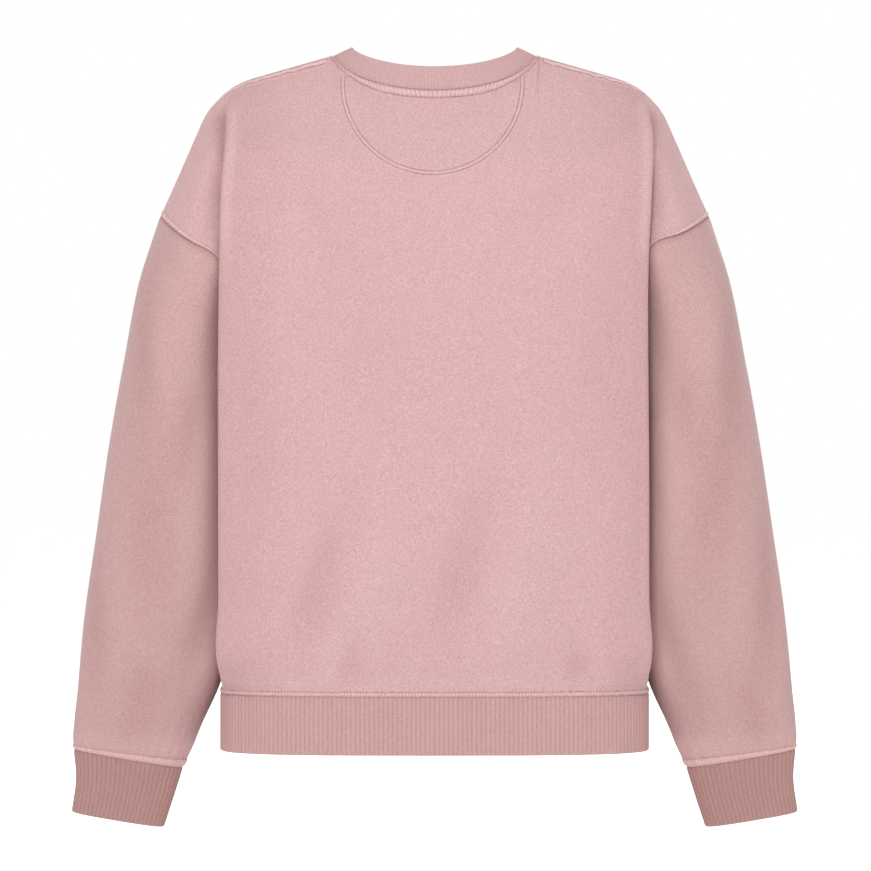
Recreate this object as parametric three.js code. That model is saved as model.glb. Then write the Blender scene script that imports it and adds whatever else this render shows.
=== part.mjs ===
// A relaxed crewneck sweatshirt in brushed fleece with drop shoulders, in the hollow form that it keeps
// when it is worn: front and back panels, two sleeves, and ribbed collar, cuffs and hem band.
// Millimetres, +Z up, the front towards -Y and the wearer's left towards +X. The origin is midway between
// the two points where the shoulder seams meet the collar, which is where shoulders carry the garment.
import * as THREE from "three";

// Cloth
const FLEECE = 2.0; // wall of the panels and sleeves
const RIB_CLOTH = 2.2; // wall of the doubled rib knit, below its ribs
const RIB_HEIGHT = 0.5;
const COLLAR_RIB_PITCH = 2.7;
const BAND_RIB_PITCH = 4.2; // on the hem band and the cuffs, where the same knit is stretched
const FACING = 1.3; // half-moon facing inside the back neck
const FACING_GAP = 1.5; // the facing hangs a little clear of the panel
const SEAM_GAP = 0.3;
const SHARED_TURN = 0.85; // cosine of the widest turn from a piece to the direction shared at a seam

// Body, measured on the worn garment
const HEM_SEAM_Z = -615.3;
const HEM_Z = -670.4;
const HEM_HALF_WIDTH = 207;
const HEM_DEPTH = { back: 97, front: 100 };
const HEM_SQUARENESS = 3.2; // exponent of the band's rounded outline seen from above
const UNDERARM_Z = -290;

// Shoulder seam: a straight slope, an arc over the shoulder, then a straight fall down the upper arm
const NECK_HALF_WIDTH = 100;
const SHOULDER_SLOPE = 15.5;
const ARM_SLOPE = 65.7;
const SHOULDER_STRAIGHT = 77.9;
const SHOULDER_RADIUS = 78;
const SEAM_LENGTH = 245;
const SEAM_Y = 3; // the seam lies a little behind the ridge of the shoulder

// Neck opening: the seam that carries the collar, and the collar's free upper edge
const NECK_CURVE = 1.3; // how the edge rises from its low point to the shoulder
const NECK_EDGES = [
  { halfWidth: NECK_HALF_WIDTH, back: 55, front: -74, sideY: 3, sideZ: 0, backDrop: 36, frontDrop: 90 },
  { halfWidth: 79.5, back: 44, front: -58, sideY: 0, sideZ: 10, backDrop: 22, frontDrop: 82 },
];
const HALF_MOON = { radius: 89, centreZ: -28, topMargin: 7, columns: 14, rows: 6 };

// Cutting lines of a half panel, in millimetres across the cloth from its centre line
const COLUMN = { neck: 100, yoke: 150, rim: 194, fold: 205, tuck: 214, valley: 240, edge: 320 };
// Heights up the cloth from the hem seam
const UNDERARM = 325;
const TOP = 580;

// Crosswise lines of cloth on each panel, from just above the hem seam to the yoke. z and depth are at the
// centre line. The fold is the upright edge that hangs beside the arm, and the valley is the groove behind
// it, from which the cloth goes on to the side seam or over the arm. swell rounds it over the arm, and sink
// takes it away from the sleeve.
const ROWS = {
  back: [
    { up: 25, z: -590, depth: 103, foldLeft: 204.8, foldRight: 204, foldY: 78, foldZ: -590,
      valleyX: 200, valleyY: 44, valleyZ: -590, swell: 0, sink: 0 },
    { up: 95, z: -520, depth: 108, foldLeft: 205.3, foldRight: 203.6, foldY: 84, foldZ: -520,
      valleyX: 194, valleyY: 45, valleyZ: -520, swell: 0, sink: 0 },
    { up: 215, z: -400, depth: 110, foldLeft: 205.6, foldRight: 203.5, foldY: 86, foldZ: -400,
      valleyX: 191, valleyY: 46, valleyZ: -400, swell: 0, sink: 1 },
    { up: 325, z: -290, depth: 110, foldLeft: 205.6, foldRight: 202.6, foldY: 86, foldZ: -290,
      valleyX: 191.5, valleyY: 48, valleyZ: -292, swell: 0, sink: 4 },
    { up: 400, z: -215, depth: 108, foldLeft: 204.3, foldRight: 202.3, foldY: 87, foldZ: -213,
      valleyX: 196, valleyY: 64, valleyZ: -218, swell: -2, sink: 5 },
    { up: 470, z: -145, depth: 101, foldLeft: 202.3, foldRight: 205, foldY: 84, foldZ: -140,
      valleyX: 201.5, valleyY: 65, valleyZ: -150, swell: 0, sink: 0 },
    { up: 530, z: -84, depth: 80, foldLeft: 198, foldRight: 207, foldY: 60, foldZ: -76,
      valleyX: 212, valleyY: 53, valleyZ: -86, swell: 6, sink: 0 },
  ],
  front: [
    { up: 25, z: -590, depth: 107, foldLeft: 205, foldRight: 205, foldY: 80, foldZ: -590,
      valleyX: 200, valleyY: 44, valleyZ: -590, swell: 0, sink: 0 },
    { up: 95, z: -520, depth: 113, foldLeft: 205, foldRight: 205, foldY: 87, foldZ: -520,
      valleyX: 194, valleyY: 45, valleyZ: -520, swell: 0, sink: 0 },
    { up: 215, z: -400, depth: 118, foldLeft: 204, foldRight: 204, foldY: 90, foldZ: -400,
      valleyX: 191, valleyY: 46, valleyZ: -400, swell: 0, sink: 1 },
    { up: 325, z: -293, depth: 120, foldLeft: 203, foldRight: 203, foldY: 90, foldZ: -290,
      valleyX: 191.5, valleyY: 48, valleyZ: -292, swell: 0, sink: 4 },
    { up: 400, z: -238, depth: 119, foldLeft: 203, foldRight: 203, foldY: 90, foldZ: -213,
      valleyX: 196, valleyY: 64, valleyZ: -218, swell: -2, sink: 5 },
    { up: 470, z: -188, depth: 114, foldLeft: 203, foldRight: 203, foldY: 86, foldZ: -140,
      valleyX: 201.5, valleyY: 65, valleyZ: -150, swell: 0, sink: 0 },
    { up: 530, z: -140, depth: 100, foldLeft: 202, foldRight: 202, foldY: 62, foldZ: -76,
      valleyX: 212, valleyY: 53, valleyZ: -86, swell: 6, sink: 0 },
  ],
};
const PANEL_BOW = 2.4; // how squarely a panel lies between its two folds
const RIM_LIFT = 7; // the panel stands this much proud of the fold's edge, just inside it

// Soft upright troughs where the body is eased into the hem band: across and height of the deep end,
// in millimetres of cloth, and how far the trough reaches up
const TROUGHS = {
  back: [
    { across: 140, halfWidth: 26, depth: 3.2, reach: 190 },
    { across: 78, halfWidth: 20, depth: 1.6, reach: 110 },
    { across: -12, halfWidth: 26, depth: 2.4, reach: 160 },
    { across: -136, halfWidth: 22, depth: 2.8, reach: 90 },
  ],
  front: [
    { across: 118, halfWidth: 28, depth: 3.0, reach: 170 },
    { across: 30, halfWidth: 24, depth: 2.0, reach: 120 },
    { across: -62, halfWidth: 24, depth: 2.6, reach: 150 },
    { across: -144, halfWidth: 24, depth: 2.8, reach: 110 },
  ],
};

// Side seam, from the hem up to the underarm
const SIDE_SEAM = [
  { up: 0, x: HEM_HALF_WIDTH, z: HEM_SEAM_Z },
  { up: 25, x: 201, z: -590 },
  { up: 95, x: 192, z: -520 },
  { up: 215, x: 187.5, z: -400 },
  { up: UNDERARM, x: 189, z: UNDERARM_Z },
];

// Armhole seam, from the shoulder seam (share 0) to the underarm (share 1). rise is how much higher it
// runs on the wearer's right
const ARMHOLE = [
  { share: 0, x: 266, y: 0, z: -154, rise: 0 },
  { share: 0.116, x: 259, y: 28, z: -162, rise: 2 },
  { share: 0.325, x: 236, y: 68, z: -180, rise: 6 },
  { share: 0.497, x: 206, y: 78, z: -198, rise: 12 },
  { share: 0.655, x: 196, y: 56, z: -226, rise: 10 },
  { share: 0.843, x: 190.5, y: 26, z: -261, rise: 4 },
  { share: 1, x: 189, y: 0, z: UNDERARM_Z, rise: 0 },
];

// Rings of the sleeve below the armhole, from their outer to their inner point, with half their depth
const SLEEVE_RINGS = [
  { along: 49, outerX: 281, outerZ: -200, innerX: 198, innerZ: -330, half: 82, y: 0, squareness: 2.2 },
  { along: 147, outerX: 301, outerZ: -296, innerX: 199, innerZ: -375, half: 87, y: 0, squareness: 2.3 },
  { along: 226, outerX: 315, outerZ: -374, innerX: 199, innerZ: -440, half: 83, y: -2, squareness: 2.4 },
  { along: 316, outerX: 328.5, outerZ: -463, innerX: 199, innerZ: -510, half: 75, y: -6, squareness: 2.5 },
  { along: 394, outerX: 340, outerZ: -540, innerX: 203, innerZ: -570, half: 66, y: -10, squareness: 2.5 },
  { along: 466, outerX: 348.5, outerZ: -612, innerX: 211, innerZ: -614, half: 54, y: -13, squareness: 2.5 },
  { along: 504, outerX: 351.8, outerZ: -650, innerX: 229, innerZ: -653, half: 41, y: -14, squareness: 2.4 },
  { along: 526, outerX: 351, outerZ: -672.5, innerX: 245.5, innerZ: -690.5, half: 27, y: -15, squareness: 2.3 },
];
const CUFF_RINGS = [
  { outerX: 349.2, outerZ: -700, innerX: 253.5, innerZ: -716, half: 21, y: -15, squareness: 2.3 },
  { outerX: 353.4, outerZ: -733, innerX: 264, innerZ: -748, half: 20, y: -15, squareness: 2.3 },
];

// Where the surfaces are divided
const NECK_STEPS = [0, 20, 40, 60, 80];
const BODY_STEPS = [100, 125, 150, 172, 190, 199, 205, 211, 222, 240, 262, 282, 302, 320];
const HALF_COLUMNS = [...NECK_STEPS, ...BODY_STEPS];
const LOWER_HEIGHTS = [0, 12, 25, 55, 95, 150, 215, 270];
const ARMHOLE_STEPS = 12;
const UPPER_HEIGHTS = Array.from(
  { length: ARMHOLE_STEPS + 1 },
  (_, i) => UNDERARM + ((TOP - UNDERARM) * i) / ARMHOLE_STEPS,
);
const HEIGHTS = [...LOWER_HEIGHTS, ...UPPER_HEIGHTS];
const SLEEVE_STEPS = [0, 22, 49, 95, 147, 190, 226, 270, 316, 355, 394, 432, 466, 490, 508, 526];

const radians = THREE.MathUtils.degToRad;
const mix = THREE.MathUtils.lerp;
const point = (x, y, z) => new THREE.Vector3(x, y, z);

// Slope at knot i of the smooth curve through the values
function slopeAt(knots, values, i) {
  const last = knots.length - 1;
  const step = (k) => values[k + 1].clone().sub(values[k]).divideScalar(knots[k + 1] - knots[k]);
  if (i === 0) return step(0);
  if (i === last) return step(last - 1);
  const before = knots[i] - knots[i - 1];
  const after = knots[i + 1] - knots[i];
  return step(i - 1).multiplyScalar(after).addScaledVector(step(i), before).divideScalar(before + after);
}

// Point at x on the smooth curve through the values, which may be given its slope at the last knot
function smooth(knots, values, x, endSlope) {
  const last = knots.length - 1;
  let i = 0;
  while (i < last - 1 && x > knots[i + 1]) i += 1;
  const span = knots[i + 1] - knots[i];
  const t = (x - knots[i]) / span;
  const slopeBelow = slopeAt(knots, values, i);
  const slopeAbove = endSlope && i + 1 === last ? endSlope : slopeAt(knots, values, i + 1);
  return values[i].clone().multiplyScalar(2 * t ** 3 - 3 * t ** 2 + 1)
    .addScaledVector(slopeBelow, span * (t ** 3 - 2 * t ** 2 + t))
    .addScaledVector(values[i + 1], 3 * t ** 2 - 2 * t ** 3)
    .addScaledVector(slopeAbove, span * (t ** 3 - t ** 2));
}

// Rounded outline: the superellipse point at an angle, as shares of its two half widths
function rounded(angle, squareness) {
  const bend = (v) => Math.sign(v) * Math.abs(v) ** (2 / squareness);
  return [bend(Math.cos(angle)), bend(Math.sin(angle))];
}

// Point of the shoulder seam at a distance from the neck, on the wearer's left
function shoulderSeam(distance) {
  const slope = radians(SHOULDER_SLOPE);
  const turn = radians(ARM_SLOPE - SHOULDER_SLOPE);
  const arcLength = SHOULDER_RADIUS * turn;
  const straight = Math.min(distance, SHOULDER_STRAIGHT);
  const turned = THREE.MathUtils.clamp((distance - SHOULDER_STRAIGHT) / SHOULDER_RADIUS, 0, turn);
  const beyond = Math.max(0, distance - SHOULDER_STRAIGHT - arcLength);
  const x = NECK_HALF_WIDTH + straight * Math.cos(slope)
    + SHOULDER_RADIUS * (Math.sin(slope + turned) - Math.sin(slope))
    + beyond * Math.cos(slope + turn);
  const z = -straight * Math.sin(slope)
    - SHOULDER_RADIUS * (Math.cos(slope) - Math.cos(slope + turned))
    - beyond * Math.sin(slope + turn);
  return point(x, SEAM_Y, z);
}

// Point of a neck edge, level 0 at the seam and 1 at the collar's upper edge, at an angle from the
// centre line (0) to the shoulder (90 degrees)
function neckEdge(face, angle, level) {
  const [seam, upper] = NECK_EDGES;
  const between = (name) => mix(seam[name], upper[name], level);
  const low = Math.max(0, Math.cos(angle));
  const sideY = between("sideY");
  const drop = between(face === "back" ? "backDrop" : "frontDrop");
  return point(
    between("halfWidth") * Math.sin(angle),
    mix(sideY, between(face), low),
    between("sideZ") - drop * low ** NECK_CURVE,
  );
}

// Points of the hem band's outline for a quarter turn, spaced evenly along it
function hemQuarter(face) {
  const steps = 200;
  const outline = Array.from({ length: steps + 1 }, (_, i) => {
    const [y, x] = rounded((Math.PI / 2) * (i / steps), HEM_SQUARENESS);
    return point(HEM_HALF_WIDTH * x, HEM_DEPTH[face] * y, 0);
  });
  return new THREE.CatmullRomCurve3(outline);
}
const HEM_QUARTERS = { back: hemQuarter("back"), front: hemQuarter("front") };
// Share of the quarter turn that each cutting line has reached: the slack beyond the fold is eased in
const HEM_SHARES = [[0, 0], [COLUMN.yoke, 0.56], [COLUMN.fold, 0.79], [COLUMN.valley, 0.87], [COLUMN.edge, 1]];

function hemPoint(face, across, z) {
  const knots = HEM_SHARES.map(([at]) => at);
  const shares = HEM_SHARES.map(([, share]) => point(share, 0, 0));
  const on = HEM_QUARTERS[face].getPointAt(THREE.MathUtils.clamp(smooth(knots, shares, across).x, 0, 1));
  return point(on.x, face === "back" ? on.y : -on.y, z);
}

// Point of the armhole seam at a share of its way down from the shoulder, side 1 left and -1 right
function armhole(face, side, share) {
  const sign = face === "back" ? 1 : -1;
  const places = ARMHOLE.map((row) => {
    const rise = side > 0 ? 0 : row.rise;
    return point(row.x, sign * row.y + SEAM_Y * (1 - row.share) ** 2, row.z + rise);
  });
  return smooth(ARMHOLE.map((row) => row.share), places, share);
}

// Outer edge of a half panel at a height up the cloth: side seam, then armhole
function panelEdge(face, side, up) {
  if (up >= UNDERARM) return armhole(face, side, (TOP - up) / (TOP - UNDERARM));
  return smooth(SIDE_SEAM.map((row) => row.up), SIDE_SEAM.map((row) => point(row.x, 0, row.z)), up);
}

// Point of the top edge of a half panel: neckline, then shoulder seam
function topEdge(face, across) {
  if (across <= COLUMN.neck) return neckEdge(face, (Math.PI / 2) * (across / COLUMN.neck), 0);
  const toFold = COLUMN.fold - COLUMN.neck;
  const beyondFold = (across - COLUMN.fold) / (COLUMN.edge - COLUMN.fold);
  return shoulderSeam(across <= COLUMN.fold ? across - COLUMN.neck : mix(toFold, SEAM_LENGTH, beyondFold));
}

// Point across one crosswise line of a half panel
function rowPoint(face, side, row, across) {
  const sign = face === "back" ? 1 : -1;
  const foldX = side > 0 ? row.foldLeft : row.foldRight;
  const flat = (at) => point(
    foldX * (at / COLUMN.fold),
    row.depth - (row.depth - row.foldY - RIM_LIFT) * (at / COLUMN.rim) ** PANEL_BOW,
    mix(row.z, row.foldZ, (at / COLUMN.fold) ** 2),
  );
  const fold = point(foldX, row.foldY, row.foldZ);
  const valley = point(row.valleyX, row.valleyY, row.valleyZ);
  const tuck = fold.clone().lerp(valley, 0.3).add(point(2.5, 0, 0));
  const places = [
    [0, flat(0)], [50, flat(50)], [COLUMN.neck, flat(COLUMN.neck)], [COLUMN.yoke, flat(COLUMN.yoke)],
    [COLUMN.rim, flat(COLUMN.rim)], [COLUMN.fold, fold], [COLUMN.tuck, tuck],
    [COLUMN.valley, valley],
  ];
  const on = smooth(places.map(([at]) => at), places.map(([, place]) => place), across);
  on.y *= sign;
  return on;
}

// Depth of the soft troughs at a place on a panel, signed across from the wearer's right to left
function troughDepth(face, across, up) {
  const cloth = 1 - THREE.MathUtils.smoothstep(Math.abs(across), COLUMN.yoke + 20, COLUMN.rim);
  return TROUGHS[face].reduce((depth, trough) => {
    const aside = (across - trough.across) / trough.halfWidth;
    const height = THREE.MathUtils.smoothstep(up, 0, 18) * (1 - THREE.MathUtils.smoothstep(up, 18, trough.reach));
    return depth + trough.depth * height * Math.exp(-aside * aside) * cloth;
  }, 0);
}

// Point up to the valley, from the rows' points at one cutting line
function innerPanelPoint(face, side, across, up) {
  const knots = [0, ...ROWS[face].map((row) => row.up), TOP];
  const column = (of) => [
    hemPoint(of, across, HEM_SEAM_Z),
    ...ROWS[of].map((row) => rowPoint(of, side, row, across)),
    topEdge(of, across),
  ];
  const own = column(face);
  const top = own.length - 1;
  // Over the shoulder the cloth runs on smoothly into the other panel
  const other = column(face === "back" ? "front" : "back");
  const over = other[top - 1].clone().sub(own[top - 1]).divideScalar(2 * (TOP - knots[top - 1]));
  const shouldered = THREE.MathUtils.smoothstep(across, COLUMN.neck * 0.3, COLUMN.neck);
  return smooth(knots, own, up, slopeAt(knots, own, top).lerp(over, shouldered));
}

// Point from the valley to the seam at the panel's edge, which the neighbouring piece shares
function outerPanelPoint(face, side, across, up) {
  const share = (across - COLUMN.valley) / (COLUMN.edge - COLUMN.valley);
  const between = (from, to) => from.clone().lerp(to, share);
  const on = between(innerPanelPoint(face, side, COLUMN.valley, up), panelEdge(face, side, up));
  const knots = [0, ...ROWS[face].map((row) => row.up), TOP];
  const still = point(0, 0, 0);
  const bulges = ROWS[face].map((row) => point(-row.sink, face === "back" ? row.swell : -row.swell, 0));
  on.addScaledVector(smooth(knots, [still, ...bulges, still], up), 4 * share * (1 - share));
  const hemBow = hemPoint(face, across, HEM_SEAM_Z)
    .sub(between(hemPoint(face, COLUMN.valley, HEM_SEAM_Z), hemPoint(face, COLUMN.edge, HEM_SEAM_Z)));
  const topBow = topEdge(face, across).sub(between(topEdge(face, COLUMN.valley), topEdge(face, COLUMN.edge)));
  on.addScaledVector(hemBow, 1 - THREE.MathUtils.smoothstep(up, 0, ROWS[face][0].up));
  on.addScaledVector(topBow, THREE.MathUtils.smoothstep(up, ROWS[face].at(-1).up, TOP));
  return on;
}

// Point of a panel's outer face, at a distance across and up the cloth
function panelPoint(face, signedAcross, up) {
  const side = signedAcross < 0 ? -1 : 1;
  const across = Math.abs(signedAcross);
  const place = across > COLUMN.valley ? outerPanelPoint : innerPanelPoint;
  const on = place(face, side, across, up);
  on.y -= (face === "back" ? 1 : -1) * troughDepth(face, signedAcross, up);
  on.x *= side;
  return on;
}

// Grids of outer points, rows going up and columns anticlockwise seen from above, so that they face out
function panelGrid(face) {
  const across = [...HALF_COLUMNS.slice(1).map((at) => -at).reverse(), ...HALF_COLUMNS];
  const order = face === "back" ? across.reverse() : across;
  return HEIGHTS.map((up) => order.map((at) => panelPoint(face, at, up)));
}

// Angle round the sleeve of each of its columns: outside, back, inside, front
const SLEEVE_SHARES = Array.from({ length: 2 * ARMHOLE_STEPS + 1 }, (_, i) => i / ARMHOLE_STEPS);

function ringPoint(ring, share) {
  const [out, back] = rounded(Math.PI * share, ring.squareness);
  return point(
    (ring.outerX + ring.innerX) / 2 + ((ring.outerX - ring.innerX) / 2) * out,
    ring.y + ring.half * back,
    (ring.outerZ + ring.innerZ) / 2 + ((ring.outerZ - ring.innerZ) / 2) * out,
  );
}

function sleevePoint(side, along, share) {
  const top = share <= 1 ? armhole("back", side, share) : armhole("front", side, 2 - share);
  const knots = [0, ...SLEEVE_RINGS.map((ring) => ring.along)];
  return smooth(knots, [top, ...SLEEVE_RINGS.map((ring) => ringPoint(ring, share))], along);
}

// A tube's rows, mirrored for the wearer's right so that it still faces out
function onSide(side, grid) {
  if (side > 0) return grid;
  return grid.map((row) => row.map((p) => point(-p.x, p.y, p.z)).reverse());
}

function sleeveGrid(side) {
  const rows = [...SLEEVE_STEPS].reverse();
  return onSide(side, rows.map((along) => SLEEVE_SHARES.map((share) => sleevePoint(side, along, share))));
}

function cuffGrid(side) {
  const rings = [...CUFF_RINGS].reverse().concat(SLEEVE_RINGS.at(-1));
  return onSide(side, rings.map((ring) => SLEEVE_SHARES.map((share) => ringPoint(ring, share))));
}

// One turn of cutting lines, anticlockwise from the centre back over the wearer's right
function turnOf(steps, place) {
  const toRight = (face) => (at) => place(face, at).multiply(point(-1, 1, 1));
  const toLeft = (face) => (at) => place(face, at);
  const inward = [...steps].reverse();
  return [
    ...steps.map(toRight("back")), ...inward.slice(1).map(toRight("front")),
    ...steps.slice(1).map(toLeft("front")), ...inward.slice(1).map(toLeft("back")),
  ];
}

function hemGrid() {
  return [HEM_Z, HEM_SEAM_Z].map((z) => turnOf(HALF_COLUMNS, (face, at) => hemPoint(face, at, z)));
}

function collarGrid() {
  const angles = [...NECK_STEPS, COLUMN.neck].map((at) => (Math.PI / 2) * (at / COLUMN.neck));
  return [0, 0.5, 1].map((level) => turnOf(angles, (face, angle) => neckEdge(face, angle, level)));
}

// Summed face normals at every point of a skin: of the whole garment, or of one piece
const keyOf = (p) => [p.x, p.y, p.z].map((v) => (Math.round(v * 500) / 500 + 0).toFixed(3)).join();

function addToSkin(skin, grid) {
  for (let r = 0; r + 1 < grid.length; r += 1) {
    for (let c = 0; c + 1 < grid[r].length; c += 1) {
      const corners = [grid[r][c], grid[r][c + 1], grid[r + 1][c + 1], grid[r + 1][c]];
      const facing = corners[2].clone().sub(corners[0]).cross(corners[3].clone().sub(corners[1]));
      for (const corner of corners) {
        const key = keyOf(corner);
        skin.set(key, (skin.get(key) ?? point(0, 0, 0)).add(facing));
      }
    }
  }
}
const garmentSkin = new Map();

// Directions out of the cloth at a grid's points. Two pieces share them along a seam, but in a sharp
// crease each keeps its own, so that its wall stays whole
function outwards(grid) {
  const ownSkin = new Map();
  addToSkin(ownSkin, grid);
  return grid.map((row, r) => row.map((p, c) => {
    const own = ownSkin.get(keyOf(p)).clone().normalize();
    const shared = garmentSkin.get(keyOf(p)).clone().normalize();
    const next = c === 0 ? row[1] : row[c - 1];
    const above = r === 0 ? grid[1][c] : grid[r - 1][c];
    const into = next.clone().add(above).addScaledVector(p, -2);
    return own.dot(shared) < SHARED_TURN && shared.dot(into) > 0 ? own : shared;
  }));
}

// How far each point moves so that a seam edge stands half a seam gap back from the seam
function seamShifts(grid, seams) {
  const rows = grid.length;
  const columns = grid[0].length;
  const shifts = grid.map((row) => row.map(() => point(0, 0, 0)));
  const back = (r, c, dr, dc) => {
    const inner = grid[r + dr][c + dc].clone().sub(grid[r][c]).normalize();
    shifts[r][c].addScaledVector(inner, SEAM_GAP / 2);
  };
  for (let c = 0; c < columns; c += 1) {
    if (seams.below) back(0, c, 1, 0);
    if (seams.above) back(rows - 1, c, -1, 0);
  }
  for (let r = 0; r < rows && seams.sides; r += 1) {
    back(r, 0, 0, 1);
    back(r, columns - 1, 0, -1);
  }
  return shifts;
}

// Collects triangles and hands them over as a closed mesh
class Shell {
  vertices = [];
  add(p) {
    this.vertices.push(p);
  }
  quad(a, b, c, d) {
    [a, b, c, a, c, d].forEach((p) => this.add(p));
  }
  triangle(a, b, c) {
    [a, b, c].forEach((p) => this.add(p));
  }
  geometry() {
    const made = new THREE.BufferGeometry().setFromPoints(this.vertices);
    made.computeVertexNormals();
    return made;
  }
}

// A wall of cloth whose outer face is the grid. A tube's last column repeats its first
function clothWall(grid, wall, seams, isTube) {
  const shifts = seamShifts(grid, seams);
  const outer = grid.map((row, r) => row.map((p, c) => p.clone().add(shifts[r][c])));
  const normals = outwards(grid);
  const inner = outer.map((row, r) => row.map((p, c) => p.clone().addScaledVector(normals[r][c], -wall)));
  const shell = new Shell();
  const rows = grid.length - 1;
  const columns = grid[0].length - 1;
  for (let r = 0; r < rows; r += 1) {
    for (let c = 0; c < columns; c += 1) {
      shell.quad(outer[r][c], outer[r][c + 1], outer[r + 1][c + 1], outer[r + 1][c]);
      shell.quad(inner[r][c], inner[r + 1][c], inner[r + 1][c + 1], inner[r][c + 1]);
    }
  }
  for (let c = 0; c < columns; c += 1) {
    shell.quad(inner[0][c], inner[0][c + 1], outer[0][c + 1], outer[0][c]);
    shell.quad(outer[rows][c], outer[rows][c + 1], inner[rows][c + 1], inner[rows][c]);
  }
  for (let r = 0; r < rows && !isTube; r += 1) {
    shell.quad(outer[r][0], outer[r + 1][0], inner[r + 1][0], inner[r][0]);
    shell.quad(inner[r][columns], inner[r + 1][columns], outer[r + 1][columns], outer[r][columns]);
  }
  return { geometry: shell.geometry(), inner, normals };
}

// A tube of rib knit: upright ribs raised on the outer face over a plain inner face
function ribbedBand(grid, seams, pitch) {
  const shifts = seamShifts(grid, seams);
  const columns = grid[0].length - 1;
  const middle = grid[Math.floor((grid.length - 1) / 2)];
  const ribs = Array.from({ length: columns }, (_, c) =>
    Math.max(1, Math.round(middle[c].distanceTo(middle[c + 1]) / pitch)));
  const base = grid.map((row, r) => row.map((p, c) => p.clone().add(shifts[r][c])));
  const normals = outwards(grid);
  const inner = base.map((row, r) => row.map((p, c) => p.clone().addScaledVector(normals[r][c], -RIB_CLOTH)));
  // Outer points of one segment of a row, from its first column to its last
  const ribbed = (r, c) => Array.from({ length: 2 * ribs[c] + 1 }, (_, i) => {
    const share = i / (2 * ribs[c]);
    const normal = normals[r][c].clone().lerp(normals[r][c + 1], share).normalize();
    return base[r][c].clone().lerp(base[r][c + 1], share).addScaledVector(normal, i % 2 ? RIB_HEIGHT : 0);
  });
  const shell = new Shell();
  for (let c = 0; c < columns; c += 1) {
    const segment = grid.map((_, r) => ribbed(r, c));
    const last = segment[0].length - 1;
    for (let r = 0; r + 1 < grid.length; r += 1) {
      for (let i = 0; i < last; i += 1) {
        shell.quad(segment[r][i], segment[r][i + 1], segment[r + 1][i + 1], segment[r + 1][i]);
      }
      shell.quad(inner[r][c], inner[r + 1][c], inner[r + 1][c + 1], inner[r][c + 1]);
    }
    const top = grid.length - 1;
    for (let i = 0; i < last; i += 1) {
      shell.triangle(inner[0][c], segment[0][i + 1], segment[0][i]);
      shell.triangle(inner[top][c], segment[top][i], segment[top][i + 1]);
    }
    shell.triangle(inner[0][c], inner[0][c + 1], segment[0][last]);
    shell.triangle(inner[top][c], segment[top][last], inner[top][c + 1]);
  }
  return shell.geometry();
}

// Point at a distance inside a panel's inner face, straight behind a place seen from the back
function placeBehind({ inner, normals }, x, z, inset) {
  const place = point(x, 0, z);
  const flat = (p) => point(p.x, 0, p.z);
  for (let r = 0; r + 1 < inner.length; r += 1) {
    for (let c = 0; c + 1 < inner[r].length; c += 1) {
      for (const corners of [[[r, c], [r, c + 1], [r + 1, c + 1]], [[r, c], [r + 1, c + 1], [r + 1, c]]]) {
        const triangle = new THREE.Triangle(...corners.map(([i, j]) => flat(inner[i][j])));
        if (!triangle.containsPoint(place)) continue;
        const weights = triangle.getBarycoord(place, point(0, 0, 0)).toArray();
        const found = point(0, 0, 0);
        corners.forEach(([i, j], k) => {
          found.addScaledVector(inner[i][j], weights[k]).addScaledVector(normals[i][j], -inset * weights[k]);
        });
        return found;
      }
    }
  }
  throw new Error("the half-moon reaches past the back panel");
}

// Half-moon facing on the inside of the back neck, laid on the panel's inner face
function halfMoon(panel) {
  const { radius, centreZ, topMargin, columns, rows } = HALF_MOON;
  const seamZ = (x) => -NECK_EDGES[0].backDrop * (1 - (x / NECK_HALF_WIDTH) ** 2) ** (NECK_CURVE / 2);
  const layer = (inset) => Array.from({ length: rows + 1 }, (_, r) =>
    Array.from({ length: columns + 1 }, (_, c) => {
      const angle = Math.PI * (0.5 - c / columns);
      const x = radius * Math.sin(angle);
      const z = mix(centreZ - radius * Math.cos(angle), seamZ(x) - topMargin, r / rows);
      return placeBehind(panel, x, z, inset);
    }));
  const near = layer(FACING_GAP);
  const far = layer(FACING_GAP + FACING);
  const shell = new Shell();
  for (let r = 0; r < rows; r += 1) {
    for (let c = 0; c < columns; c += 1) {
      shell.quad(near[r][c], near[r][c + 1], near[r + 1][c + 1], near[r + 1][c]);
      shell.quad(far[r][c], far[r + 1][c], far[r + 1][c + 1], far[r][c + 1]);
    }
    shell.quad(near[r][0], near[r + 1][0], far[r + 1][0], far[r][0]);
    shell.quad(far[r][columns], far[r + 1][columns], near[r + 1][columns], near[r][columns]);
  }
  for (let c = 0; c < columns; c += 1) {
    shell.quad(far[0][c], far[0][c + 1], near[0][c + 1], near[0][c]);
    shell.quad(near[rows][c], near[rows][c + 1], far[rows][c + 1], far[rows][c]);
  }
  return shell.geometry();
}

// Garment-dyed cotton: the fleece has faded a little more than the denser rib
const fleeceMaterial = new THREE.MeshStandardMaterial({ color: 0xdcb4b4, roughness: 0.95, metalness: 0 });
const sleeveMaterial = new THREE.MeshStandardMaterial({ color: 0xd2a6a4, roughness: 0.95, metalness: 0 });
const ribMaterial = new THREE.MeshStandardMaterial({ color: 0xc99d9b, roughness: 0.9, metalness: 0 });
const facingMaterial = new THREE.MeshStandardMaterial({ color: 0xdfb9b8, roughness: 0.95, metalness: 0 });

const garment = new THREE.Group();
function addPiece(name, geometry, material) {
  const mesh = new THREE.Mesh(geometry, material);
  mesh.name = name;
  garment.add(mesh);
}

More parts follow.
